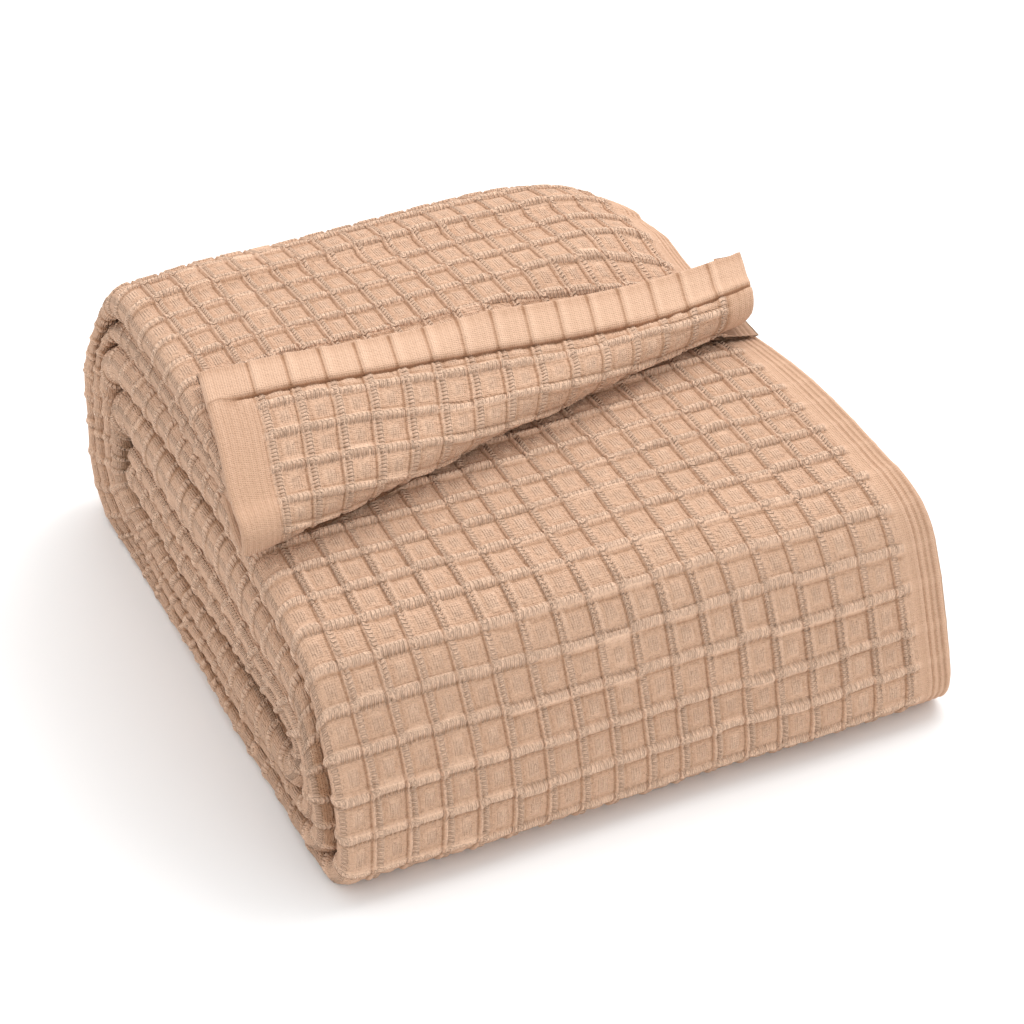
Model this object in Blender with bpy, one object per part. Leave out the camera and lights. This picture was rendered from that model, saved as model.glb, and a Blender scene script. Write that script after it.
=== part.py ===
"""Waffle weave cotton blanket, folded lengthwise, rolled flat and with its loose end turned back.

The blanket is one piece of cloth, so it is one solid. Its section across the roll is a flattened
spiral that rests on a flat sole: the folded strip starts at the core, makes two turns, runs forward
over the top and turns back over itself as a hemmed flap. The section is lofted along X, where the
left end is the rounded side fold and the right end is cut on a slant and droops a little.

Metres, +Z up. X runs along the roll, -Y is its front. The origin is under the middle, on the surface.
"""

import math

import bmesh
import bpy

MM = 0.001

# Driving sizes of the roll
LEFT_END = -209.5 * MM  # the side fold
RIGHT_END = 209.5 * MM  # the free edges, at the toe
RIGHT_SLANT = 0.225  # how much shorter the upper turns get for each metre towards the back
SLANT_LOW, SLANT_HIGH = 30 * MM, 170 * MM  # the slant grows between these heights
TOE_Y = -200 * MM  # the slant is measured from here
LAYER_GAP = 1.5 * MM  # between one turn and the next
DEPTH_SHIFT = -2.3 * MM  # brings the middle of the depth to the origin

# The loose end, which runs forward over the top and folds back over itself
FLAP_THICKNESS = 12 * MM
FLAP_NOSE = 16 * MM  # radius of the fold
FOLD_Y_LEFT, FOLD_Y_RIGHT = -112 * MM, -20 * MM
HEM_Y_LEFT, HEM_Y_RIGHT = 2 * MM, 10 * MM
FOLD_STRAIGHT_FROM = -190 * MM  # left of this the fold keeps its place
TOP_LIFT = 20 * MM  # thickness of the top turn where it meets the fold
TOP_RISE = 0.6  # and its rise from there to the crest

# How the right end sinks where little lies under it
DROOP = 28 * MM
DROOP_REACH = 75 * MM
DROOP_FROM, DROOP_FULL = 165 * MM, 235 * MM
BACK_PULL = 22 * MM
BACK_FROM, BACK_FULL = 90 * MM, 230 * MM

# Outer surface from the crest, down the back, along the sole and up the front: y, z, radius in mm
OUTSIDE = (
    ("crest", 130, 238, 60),
    ("back", 225, 108, 60),
    ("heel", 228, 0, 45),
    ("toe", -232, 0, 25),
    ("brow", -181, 151, 52),
)
# Surface of the second turn from the brow to the shoulder: y, z in mm
LEDGE = (
    ("brow", -150, 157),
    ("rise", -110, 170),
    ("level", -65, 179),
    ("middle", 20, 181),
    ("fall", 110, 174),
)
# Crest of the outer turn: y, z in mm
CREST = (
    ("front", -110, 181),
    ("slope", -60, 212),
    ("bend", -20, 227),
    ("top", 40, 237),
    ("back", 90, 238),
)
# The gap between the turns, from the shoulder inwards to the core: y, z, radius in mm
SPIRAL = (
    ("shoulder", 176, 167, 55),
    ("inner back", 194, 60, 60),
    ("inner heel", 190, 20, 34),
    ("inner toe", -184, 20, 28),
    ("inner brow", -181, 101, 32),
    ("core end", 153, 101, 20),
    ("core heel", 153, 56, 20),
)
CORE_TIP = (-140 * MM, 57 * MM)

ARC_STEP = math.radians(24)  # longest turn between two points of an arc
LEDGE_SAMPLES = 8
CREST_SAMPLES = 9
FLAP_SAMPLES = 6
NOSE_SAMPLES = 6

# Stations along the roll: share of the length from the left end, and how far the section draws in
STATIONS = (
    (0.000, 4.6 * MM),
    (0.004, 2.4 * MM),
    (0.014, 0.9 * MM),
    (0.030, 0.0),
    (0.150, 0.0),
    (0.300, 0.0),
    (0.450, 0.0),
    (0.600, 0.0),
    (0.740, 0.0),
    (0.830, 0.0),
    (0.900, 0.0),
    (0.950, 0.0),
    (0.990, 0.3 * MM),
    (1.000, 1.8 * MM),
)

COTTON = (0.60, 0.42, 0.29, 1.0)


def clear_scene():
    """Remove every object, so that the blanket stands alone."""
    for item in list(bpy.data.objects):
        bpy.data.objects.remove(item, do_unlink=True)


def ease(value, low, high):
    """Smooth step of value from 0 at low to 1 at high."""
    t = min(max((value - low) / (high - low), 0.0), 1.0)
    return t * t * (3.0 - 2.0 * t)


def lerp(a, b, t):
    """Value between a and b."""
    return a + (b - a) * t


def read_height(table, y):
    """Height of a table's surface at depth y, by a smooth curve through its rows."""
    rows = [(row[1] * MM, row[2] * MM) for row in table]
    y = min(max(y, rows[0][0]), rows[-1][0])
    slopes = [(b[1] - a[1]) / (b[0] - a[0]) for a, b in zip(rows, rows[1:])]
    tangents = [slopes[0]] + [(p + q) / 2 for p, q in zip(slopes, slopes[1:])] + [slopes[-1]]
    for k, (a, b) in enumerate(zip(rows, rows[1:])):
        if y <= b[0]:
            break
    span = b[0] - a[0]
    t = (y - a[0]) / span
    return (
        a[1] * (1 + 2 * t) * (1 - t) ** 2
        + b[1] * t * t * (3 - 2 * t)
        + tangents[k] * span * t * (1 - t) ** 2
        - tangents[k + 1] * span * t * t * (1 - t)
    )


def rounded_run(start, corners, end):
    """Points from start to end past the corners, each of which is an arc of its radius."""
    stops = [start] + [(row[1] * MM, row[2] * MM) for row in corners] + [end]
    points = [start]
    for k, row in enumerate(corners, start=1):
        before, here, after = stops[k - 1], stops[k], stops[k + 1]
        ax, ay = before[0] - here[0], before[1] - here[1]
        bx, by = after[0] - here[0], after[1] - here[1]
        a_len, b_len = math.hypot(ax, ay), math.hypot(bx, by)
        ax, ay, bx, by = ax / a_len, ay / a_len, bx / b_len, by / b_len
        half = math.acos(max(-1.0, min(1.0, ax * bx + ay * by))) / 2
        radius = row[3] * MM
        reach = radius / math.tan(half)
        mid = math.hypot(ax + bx, ay + by)
        centre = (
            here[0] + (ax + bx) / mid * radius / math.sin(half),
            here[1] + (ay + by) / mid * radius / math.sin(half),
        )
        first = (here[0] + ax * reach, here[1] + ay * reach)
        turn = math.pi - 2 * half
        side = 1.0 if ax * by - ay * bx < 0 else -1.0
        steps = max(2, math.ceil(turn / ARC_STEP))
        from_angle = math.atan2(first[1] - centre[1], first[0] - centre[0])
        points.append(first)
        for step in range(1, steps + 1):
            angle = from_angle + side * turn * step / steps
            points.append(
                (centre[0] + radius * math.cos(angle), centre[1] + radius * math.sin(angle))
            )
    points.append(end)
    return points


def normals(points, closed):
    """Unit normals to the left of a run's direction, at each of its points."""
    count = len(points)
    found = []
    for k in range(count):
        a = points[(k - 1) % count] if closed or k else points[0]
        b = points[(k + 1) % count] if closed or k < count - 1 else points[-1]
        dy, dz = b[0] - a[0], b[1] - a[1]
        length = math.hypot(dy, dz)
        found.append((-dz / length, dy / length))
    return found


def shifted(points, distance, closed=False):
    """A run moved to its left by distance."""
    return [
        (p[0] + n[0] * distance, p[1] + n[1] * distance)
        for p, n in zip(points, normals(points, closed))
    ]


def samples(start, end, count):
    """Evenly spaced values from start to end, both included."""
    return [lerp(start, end, k / (count - 1)) for k in range(count)]


def section(x):
    """Closed outline of the cloth across the roll at x, clockwise as seen from +X."""
    across = ease(x, FOLD_STRAIGHT_FROM, RIGHT_END) * 0.4 + 0.6 * min(
        max((x - FOLD_STRAIGHT_FROM) / (RIGHT_END - FOLD_STRAIGHT_FROM), 0.0), 1.0
    )
    fold_y = lerp(FOLD_Y_LEFT, FOLD_Y_RIGHT, across)
    hem_y = lerp(HEM_Y_LEFT, HEM_Y_RIGHT, across)
    mouth_y = fold_y + FLAP_NOSE
    ledge_end = LEDGE[-1][1] * MM
    crest_end = CREST[-1][1] * MM

    def top(y):
        """Height of the outer turn: its crest, or lower where it thins towards the fold."""
        thin = read_height(LEDGE, y) + TOP_LIFT + TOP_RISE * (y - mouth_y)
        return min(read_height(CREST, y), thin)

    crest = [(y, top(y)) for y in samples(mouth_y, crest_end, CREST_SAMPLES)]
    ledge_start = (LEDGE[0][1] * MM, LEDGE[0][2] * MM)
    outside = rounded_run(crest[-1], OUTSIDE, ledge_start)
    front = [
        (y, read_height(LEDGE, y)) for y in samples(ledge_start[0], mouth_y, LEDGE_SAMPLES)
    ]
    under = [(y, read_height(LEDGE, y)) for y in samples(mouth_y, ledge_end, LEDGE_SAMPLES)]
    gap = under[:-1] + rounded_run(under[-1], SPIRAL, CORE_TIP)
    gap_above = shifted(gap, LAYER_GAP)[::-1]

    nose_z = read_height(LEDGE, mouth_y) + LAYER_GAP + FLAP_NOSE
    nose = [
        (mouth_y - FLAP_NOSE * math.sin(a), nose_z - FLAP_NOSE * math.cos(a))
        for a in samples(0.0, math.radians(165), NOSE_SAMPLES)
    ]
    flap = samples(mouth_y + 4 * MM, hem_y, FLAP_SAMPLES)
    flap_under = [(y, top(y) + LAYER_GAP) for y in reversed([mouth_y + MM] + flap)]
    flap_top = [(y, top(y) + LAYER_GAP + FLAP_THICKNESS) for y in flap]
    return crest + outside[1:] + front[1:] + gap[1:] + gap_above[:-1] + nose + flap_top + flap_under


def right_end(y, z):
    """Where the roll ends at this place of its section."""
    slant = RIGHT_SLANT * max(y - TOE_Y, 0.0)
    return RIGHT_END - slant * ease(z, SLANT_LOW, SLANT_HIGH)


def settled(x, y, z, to_end):
    """A point after the right end has sunk; to_end is its distance from that end."""
    near = max(1.0 - to_end / DROOP_REACH, 0.0) ** 2
    drop = DROOP * near * ease(z, DROOP_FROM, DROOP_FULL)
    pull = BACK_PULL * near * ease(y, BACK_FROM, BACK_FULL)
    return (x, y - pull + DEPTH_SHIFT, z - drop)


def ring_at(share, draw_in):
    """Points in space of one station."""
    x_middle = lerp(LEFT_END, RIGHT_END, share)
    outline = section(x_middle)
    outline = shifted(outline, -draw_in, closed=True)
    ring = []
    for y, z in outline:
        end = right_end(y, z)
        x = lerp(LEFT_END, end, share)
        ring.append(settled(x, y, z, end - x))
    return ring


def build_roll():
    """Loft the sections into one closed solid."""
    mesh = bpy.data.meshes.new("blanket")
    solid = bmesh.new()
    rings = []
    for share, draw_in in STATIONS:
        rings.append([solid.verts.new(point) for point in ring_at(share, draw_in)])
    count = len(rings[0])
    for near, far in zip(rings, rings[1:]):
        for k in range(count):
            after = (k + 1) % count
            solid.faces.new((near[k], near[after], far[after], far[k]))
    solid.faces.new(rings[0][::-1])
    solid.faces.new(rings[-1])
    bmesh.ops.recalc_face_normals(solid, faces=solid.faces)
    bmesh.ops.triangulate(solid, faces=solid.faces)
    solid.to_mesh(mesh)
    solid.free()
    return mesh


def cotton():
    """Undyed tan cotton."""
    material = bpy.data.materials.new("tan cotton")
    material.use_nodes = True
    shader = material.node_tree.nodes["Principled BSDF"]
    shader.inputs["Base Color"].default_value = COTTON
    shader.inputs["Roughness"].default_value = 0.95
    shader.inputs["Metallic"].default_value = 0.0
    material.diffuse_color = COTTON
    return material


def main():
    """Build the blanket in its own collection."""
    clear_scene()
    home = bpy.data.collections.new("waffle_blanket")
    bpy.context.scene.collection.children.link(home)
    mesh = build_roll()
    mesh.materials.append(cotton())
    blanket = bpy.data.objects.new("blanket", mesh)
    home.objects.link(blanket)


main()
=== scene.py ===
"""Looks of the waffle weave cotton blanket: wound bands, turned flap, cotton finish and studio.

The blanket is folded lengthwise and wound double, so its section shows two bands in each turn. The
outer band and the under band are cloth folded over at the left end, with their free edges at the
right. Lengths inside the classes are in millimetres and become metres where a mesh is written.
"""

import logging
import math
from dataclasses import dataclass, replace
from enum import Enum

import bmesh
import bpy
import numpy as np
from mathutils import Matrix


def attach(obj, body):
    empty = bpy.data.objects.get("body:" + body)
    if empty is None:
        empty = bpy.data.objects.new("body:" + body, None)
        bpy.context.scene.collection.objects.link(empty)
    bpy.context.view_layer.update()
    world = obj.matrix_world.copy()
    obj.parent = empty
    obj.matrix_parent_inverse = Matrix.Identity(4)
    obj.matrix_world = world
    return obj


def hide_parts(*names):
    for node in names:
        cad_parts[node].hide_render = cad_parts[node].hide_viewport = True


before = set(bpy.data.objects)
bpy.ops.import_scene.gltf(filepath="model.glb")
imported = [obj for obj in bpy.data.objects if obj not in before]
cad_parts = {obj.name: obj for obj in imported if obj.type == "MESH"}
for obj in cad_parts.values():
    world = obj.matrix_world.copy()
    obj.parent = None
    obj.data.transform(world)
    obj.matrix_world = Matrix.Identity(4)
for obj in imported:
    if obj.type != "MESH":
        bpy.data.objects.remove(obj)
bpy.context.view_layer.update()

LOG = logging.getLogger("blanket")
MM = 0.001
Row = tuple[float, ...]
Table = tuple[Row, ...]


def smooth_step(value: np.ndarray, low: float, high: float) -> np.ndarray:
    """Ease from 0 at low to 1 at high.

    Args:
        value: Where to read the step.
        low: End of the zeros.
        high: Start of the ones.

    Returns:
        Values from 0 to 1.
    """
    t = np.clip((value - low) / (high - low), 0.0, 1.0)
    return t * t * (3.0 - 2.0 * t)


def bump_at(distance: np.ndarray, width: float) -> np.ndarray:
    """Bell of height 1 at distance 0."""
    return np.exp(-((distance / width) ** 2))


def nearest_signed(value: np.ndarray, pitch: float) -> np.ndarray:
    """Signed distance from the nearest multiple of pitch."""
    return (value + pitch / 2) % pitch - pitch / 2


def ramp(value: np.ndarray, places: Row, levels: Row) -> np.ndarray:
    """Straight runs between levels at places."""
    return np.interp(value, places, levels)


def noise_of(value: np.ndarray, seed: float) -> np.ndarray:
    """Repeatable value from -1 to 1 for each whole number."""
    raw = np.sin(np.round(value) * 12.9898 + seed * 78.233) * 43758.5453
    return 2.0 * (raw - np.floor(raw)) - 1.0


def height_on(table: Table, y: np.ndarray) -> np.ndarray:
    """Height of a profile at depth y, by a smooth curve through its rows.

    Args:
        table: Rows of depth and height.
        y: Depths to read.

    Returns:
        Heights, held level past both ends.
    """
    rows = np.array(table)
    slope = np.diff(rows[:, 1]) / np.diff(rows[:, 0])
    tangent = np.concatenate([slope[:1], (slope[1:] + slope[:-1]) / 2, slope[-1:]])
    y = np.clip(y, rows[0, 0], rows[-1, 0])
    k = np.clip(np.searchsorted(rows[:, 0], y, side="left") - 1, 0, len(slope) - 1)
    span = rows[k + 1, 0] - rows[k, 0]
    t = (y - rows[k, 0]) / span
    return (
        rows[k, 1] * (1 + 2 * t) * (1 - t) ** 2
        + rows[k + 1, 1] * t * t * (3 - 2 * t)
        + tangent[k] * span * t * (1 - t) ** 2
        - tangent[k + 1] * span * t * t * (1 - t)
    )


def rounded_run(start: Row, corners: Table, end: Row) -> list[np.ndarray]:
    """Run from start to end past corners, each rounded to its radius.

    Args:
        start: First point.
        corners: Rows of depth, height and radius.
        end: Last point.

    Returns:
        Points of the run, arcs in small steps.
    """
    stops = [np.array(start[:2])] + [np.array(row[:2]) for row in corners] + [np.array(end[:2])]
    points = [stops[0]]
    for before, here, after, row in zip(stops, stops[1:], stops[2:], corners):
        a = (before - here) / np.linalg.norm(before - here)
        b = (after - here) / np.linalg.norm(after - here)
        half = math.acos(float(np.clip(a @ b, -1.0, 1.0))) / 2
        middle = (a + b) / np.linalg.norm(a + b)
        centre = here + middle * row[2] / math.sin(half)
        first = here + a * row[2] / math.tan(half)
        side = 1.0 if a[0] * b[1] - a[1] * b[0] < 0 else -1.0
        begin = math.atan2(first[1] - centre[1], first[0] - centre[0])
        for angle in np.linspace(0.0, side * (math.pi - 2 * half), 16):
            turn = begin + angle
            points.append(centre + row[2] * np.array((math.cos(turn), math.sin(turn))))
    points.append(stops[-1])
    return points


@dataclass(frozen=True)
class Weave:
    """Raised cells of the cloth: ropes along the roll and ladders round it."""

    cell_across: float = 22.9
    cell_along: float = 25.5
    first_ladder: float = 0.7
    ladder_half: float = 1.9
    ladder_width: float = 1.05
    ladder_height: float = 1.5
    rope_width: float = 3.6
    rope_height: float = 2.3
    motif_height: float = 1.2
    slack: float = 0.7
    border: float = 21.5
    rib_pitch: float = 4.6
    rib_height: float = 0.45
    rib_shade: float = 0.4
    width: float = 419.0

    def across_lines(self, start: float, end: float, fine: bool) -> np.ndarray:
        """Places of mesh lines between start and end, close together on the ladders."""
        steps = (-8.6, -6.2, -4.4, -3.2, -2.4, -1.7, -0.8, 0.0, 0.8, 1.7, 2.4, 3.2, 4.4, 6.2, 8.6, 11.1)
        if not fine:
            steps = (-5.5, -2.6, -1.3, 0.0, 1.3, 2.6, 5.5, 11.1)
        return self._repeat(steps, self.first_ladder, self.cell_across, start, end)

    def along_lines(self, start: float, end: float, fine: bool) -> np.ndarray:
        """Places of mesh lines between start and end, close together on the ropes."""
        steps = (-8.5, -5.5, -3.9, -2.8, -1.9, -1.0, 0.0, 1.0, 1.9, 2.8, 3.9, 5.5, 8.5, 12.75)
        if not fine:
            steps = (-7.0, -3.6, -1.8, 0.0, 1.8, 3.6, 7.0, 12.75)
        return self._repeat(steps, 0.0, self.cell_along, start, end)

    @staticmethod
    def _repeat(steps: Row, first: float, pitch: float, start: float, end: float) -> np.ndarray:
        """Steps repeated at every pitch, cut to a range that keeps its ends."""
        cells = np.arange(math.floor((start - first) / pitch) - 1, math.ceil((end - first) / pitch) + 2)
        lines = (first + cells[:, None] * pitch + np.array(steps)[None, :]).ravel()
        inside = lines[(lines > start + 0.35) & (lines < end - 0.35)]
        return np.unique(np.concatenate([[start], inside, [end]]))

    def wander(self, u: np.ndarray, v: np.ndarray) -> tuple[np.ndarray, np.ndarray]:
        """Slow drift of the cells, in both directions, and a small step of each rope at a ladder."""
        column = np.floor((u - self.first_ladder) / self.cell_across)
        du = 0.9 * np.sin(v / 61.0 + u / 170.0) + 0.5 * np.sin(v / 19.0 + u / 43.0)
        dv = 1.1 * np.sin(u / 74.0 + v / 210.0) + 0.6 * np.sin(u / 31.0 - v / 57.0)
        row = np.round(v / self.cell_along)
        along = (u - self.first_ladder) / self.cell_across - column
        step = 1.25 * noise_of(column * 3 + row * 17, 1.7)
        bow = 1.1 * noise_of(column * 5 + row * 11, 0.9) * np.sin(math.pi * along)
        return du, dv + step + bow

    def relief(self, u: np.ndarray, v: np.ndarray, plain: np.ndarray) -> np.ndarray:
        """Height of the cloth over its mean surface.

        Args:
            u: Place across the cloth, from its left edge.
            v: Place along the cloth, from the first rope.
            plain: 1 where the cloth is flat border, 0 where it is waffle.

        Returns:
            Heights.
        """
        shift_u, shift_v = self.wander(u, v)
        du = nearest_signed(u + shift_u - self.first_ladder, self.cell_across)
        dv = nearest_signed(v + shift_v, self.cell_along)
        column = np.floor((u + shift_u - self.first_ladder) / self.cell_across)
        row = np.floor((v + shift_v) / self.cell_along)
        lift = 1.0 + 0.16 * noise_of(column * 7 + row * 31, 0.4)
        ladder = bump_at(np.abs(du) - self.ladder_half, self.ladder_width) * self.ladder_height
        ladder = ladder * (1.0 + 0.2 * noise_of(column * 19 + row * 3, 3.1)) * smooth_step(u, 8.0, 14.0)
        round_rope = np.clip(1.0 - (dv / self.rope_width) ** 2, 0.0, 1.0) ** 0.8
        gap = 0.85 * bump_at(du + 3.4, 1.3) + 0.35 * bump_at(du - 0.2, 1.2)
        rope = round_rope * self.rope_height * (1.0 - np.minimum(gap, 0.9))
        inside_u = (u + shift_u - self.first_ladder) % self.cell_across - self.cell_across / 2
        inside_v = (v + shift_v) % self.cell_along - self.cell_along / 2
        motif = smooth_step(-np.abs(inside_u + 0.6), -4.4, -2.6) * smooth_step(-np.abs(inside_v), -5.8, -3.8)
        motif = motif * self.motif_height * (1.0 + 0.3 * noise_of(column * 13 + row * 5, 2.2))
        dish = -0.9 * np.cos(math.pi * inside_u / self.cell_across) ** 2
        dish = dish * np.cos(math.pi * inside_v / self.cell_along) ** 2
        waffle = (np.maximum(ladder, rope) + 0.25 * np.minimum(ladder, rope)) * lift + motif + dish
        ribs = self.rib_height * (np.cos(2 * math.pi * u / self.rib_pitch) + 0.8 * round_rope)
        sunk = -0.7 * self.hollows(u, v, plain)
        return waffle * (1.0 - plain) + ribs * plain + sunk

    def waves(self, u: np.ndarray, v: np.ndarray) -> np.ndarray:
        """Slow rise and fall of the cloth, which is a little slack."""
        first = np.sin(u / 37.0 + 1.3 * np.sin(v / 49.0)) + np.sin(v / 33.0 + u / 90.0)
        second = np.sin(u / 15.0 - v / 27.0 + np.sin(u / 60.0)) + np.sin(u / 23.0 + v / 17.0)
        return self.slack * (first - 1.2) + 0.22 * second

    def hollows(self, u: np.ndarray, v: np.ndarray, plain: np.ndarray) -> np.ndarray:
        """How deep the hollows beside the ladders, under the ropes and between the border's ribs are, 0 to 1; they
        sink the cloth a little and are also painted into its colour as painted shade.
        """
        shift_u, shift_v = self.wander(u, v)
        du = nearest_signed(u + shift_u - self.first_ladder, self.cell_across)
        dv = nearest_signed(v + shift_v, self.cell_along)
        # Painted shade lines beside each ladder, strongest on its left side, then painted shade under the ropes and
        # between the border's ribs.
        line = bump_at(du + 3.7, 0.9) + 0.5 * bump_at(du - 3.8, 0.9) + 0.5 * bump_at(du, 0.7)
        line = line * smooth_step(u, 8.0, 14.0)
        line = line * (1.0 - 0.75 * bump_at(dv, 3.4))
        under = 0.75 * bump_at(dv + 4.1, 1.1) + 0.35 * bump_at(dv - 4.1, 1.1)
        between = self.rib_shade * smooth_step(-np.cos(2 * math.pi * u / self.rib_pitch), 0.2, 1.0)
        return np.minimum(line + under, 1.0) * (1.0 - plain) + between * plain

    def left_edge_plain(self, u: np.ndarray) -> np.ndarray:
        """1 on the flat border at the right-hand edge of a wound band."""
        return smooth_step(u, self.width - self.border - 2.5, self.width - self.border + 1.0)


@dataclass(frozen=True)
class RightEnd:
    """How the right end is cut on a slant and sinks where little lies under it."""

    left: float = -209.5
    right: float = 209.5
    slant: float = 0.225
    slant_low: float = 30.0
    slant_high: float = 170.0
    toe: float = -200.0
    droop: float = 28.0
    droop_reach: float = 75.0
    droop_from: float = 165.0
    droop_full: float = 235.0
    pull: float = 22.0
    pull_from: float = 90.0
    pull_full: float = 230.0
    depth_shift: float = -2.3
    sag: float = 5.5
    sag_reach: float = 75.0

    def end_at(self, y: np.ndarray, z: np.ndarray) -> np.ndarray:
        """Where the cloth ends to the right at this place of the section."""
        drawn = self.slant * np.maximum(y - self.toe, 0.0)
        return self.right - drawn * smooth_step(z, self.slant_low, self.slant_high)

    def settled(self, points: np.ndarray, end: np.ndarray) -> np.ndarray:
        """Points after the right end has sunk.

        Args:
            points: Places, in a last axis of three.
            end: Where the cloth ends to the right of each of them.

        Returns:
            New places.
        """
        near = np.clip(1.0 - (end - points[..., 0]) / self.droop_reach, 0.0, 1.3) ** 2
        drop = self.droop * near * smooth_step(points[..., 2], self.droop_from, self.droop_full)
        back = self.pull * near * smooth_step(points[..., 1], self.pull_from, self.pull_full)
        moved = points.copy()
        leftmost = 1.0 - smooth_step(points[..., 0], self.left - 4.0, self.left + self.sag_reach)
        moved[..., 2] -= self.sag * leftmost * smooth_step(points[..., 2], 175.0, 235.0)
        moved[..., 1] += self.depth_shift - back
        moved[..., 2] -= drop
        return moved


@dataclass(frozen=True)
class LooseEnd:
    """The line where the loose end folds back, and its hem, which change along the roll."""

    straight_from: float = -190.0
    right: float = 209.5
    fold_left: float = -112.0
    fold_right: float = -20.0
    hem_left: float = 2.0
    hem_right: float = 10.0
    nose: float = 16.0
    thickness: float = 12.0
    gap: float = 1.5
    lift: float = 20.0
    rise: float = 0.6

    def share(self, x: np.ndarray) -> np.ndarray:
        """How far the fold has run from left to right, 0 to 1."""
        even = np.clip((x - self.straight_from) / (self.right - self.straight_from), 0.0, 1.0)
        return 0.4 * smooth_step(x, self.straight_from, self.right) + 0.6 * even

    def fold(self, x: np.ndarray) -> np.ndarray:
        """Depth of the fold."""
        return self.fold_left + (self.fold_right - self.fold_left) * self.share(x)

    def hem(self, x: np.ndarray) -> np.ndarray:
        """Depth of the hem's edge, which sags forward in the middle."""
        sag = -17.0 * np.sin(math.pi * np.clip((x + 193.0) / 361.0, 0.0, 1.0)) ** 0.7
        return self.hem_left + (self.hem_right - self.hem_left) * self.share(x) + sag

    def top(self, x: np.ndarray, y: np.ndarray) -> np.ndarray:
        """Height of the outer turn's top, which thins towards the fold."""
        mouth = self.fold(x) + self.nose
        thin = height_on(LEDGE, y) + self.lift + self.rise * (y - mouth)
        return np.minimum(height_on(CREST, y), thin)


CREST: Table = ((-110, 181), (-60, 212), (-20, 227), (40, 237), (90, 238))
LEDGE: Table = ((-150, 157), (-110, 170), (-65, 179), (20, 181), (110, 174))
OUTSIDE: Table = (
    (130, 238, 60),
    (225, 108, 60),
    (228, 0, 45),
    (-232, 0, 25),
    (-181, 151, 52),
)
SPIRAL: Table = (
    (176, 167, 55),
    (194, 60, 60),
    (190, 20, 34),
    (-184, 20, 28),
    (-181, 101, 32),
    (153, 101, 20),
    (153, 56, 20),
    (-138, 56, 4),
    (-138, 59, 4),
)


class Turn(Enum):
    """Which of the two bands of a turn."""

    OUTER = "outer"
    UNDER = "under"


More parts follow.
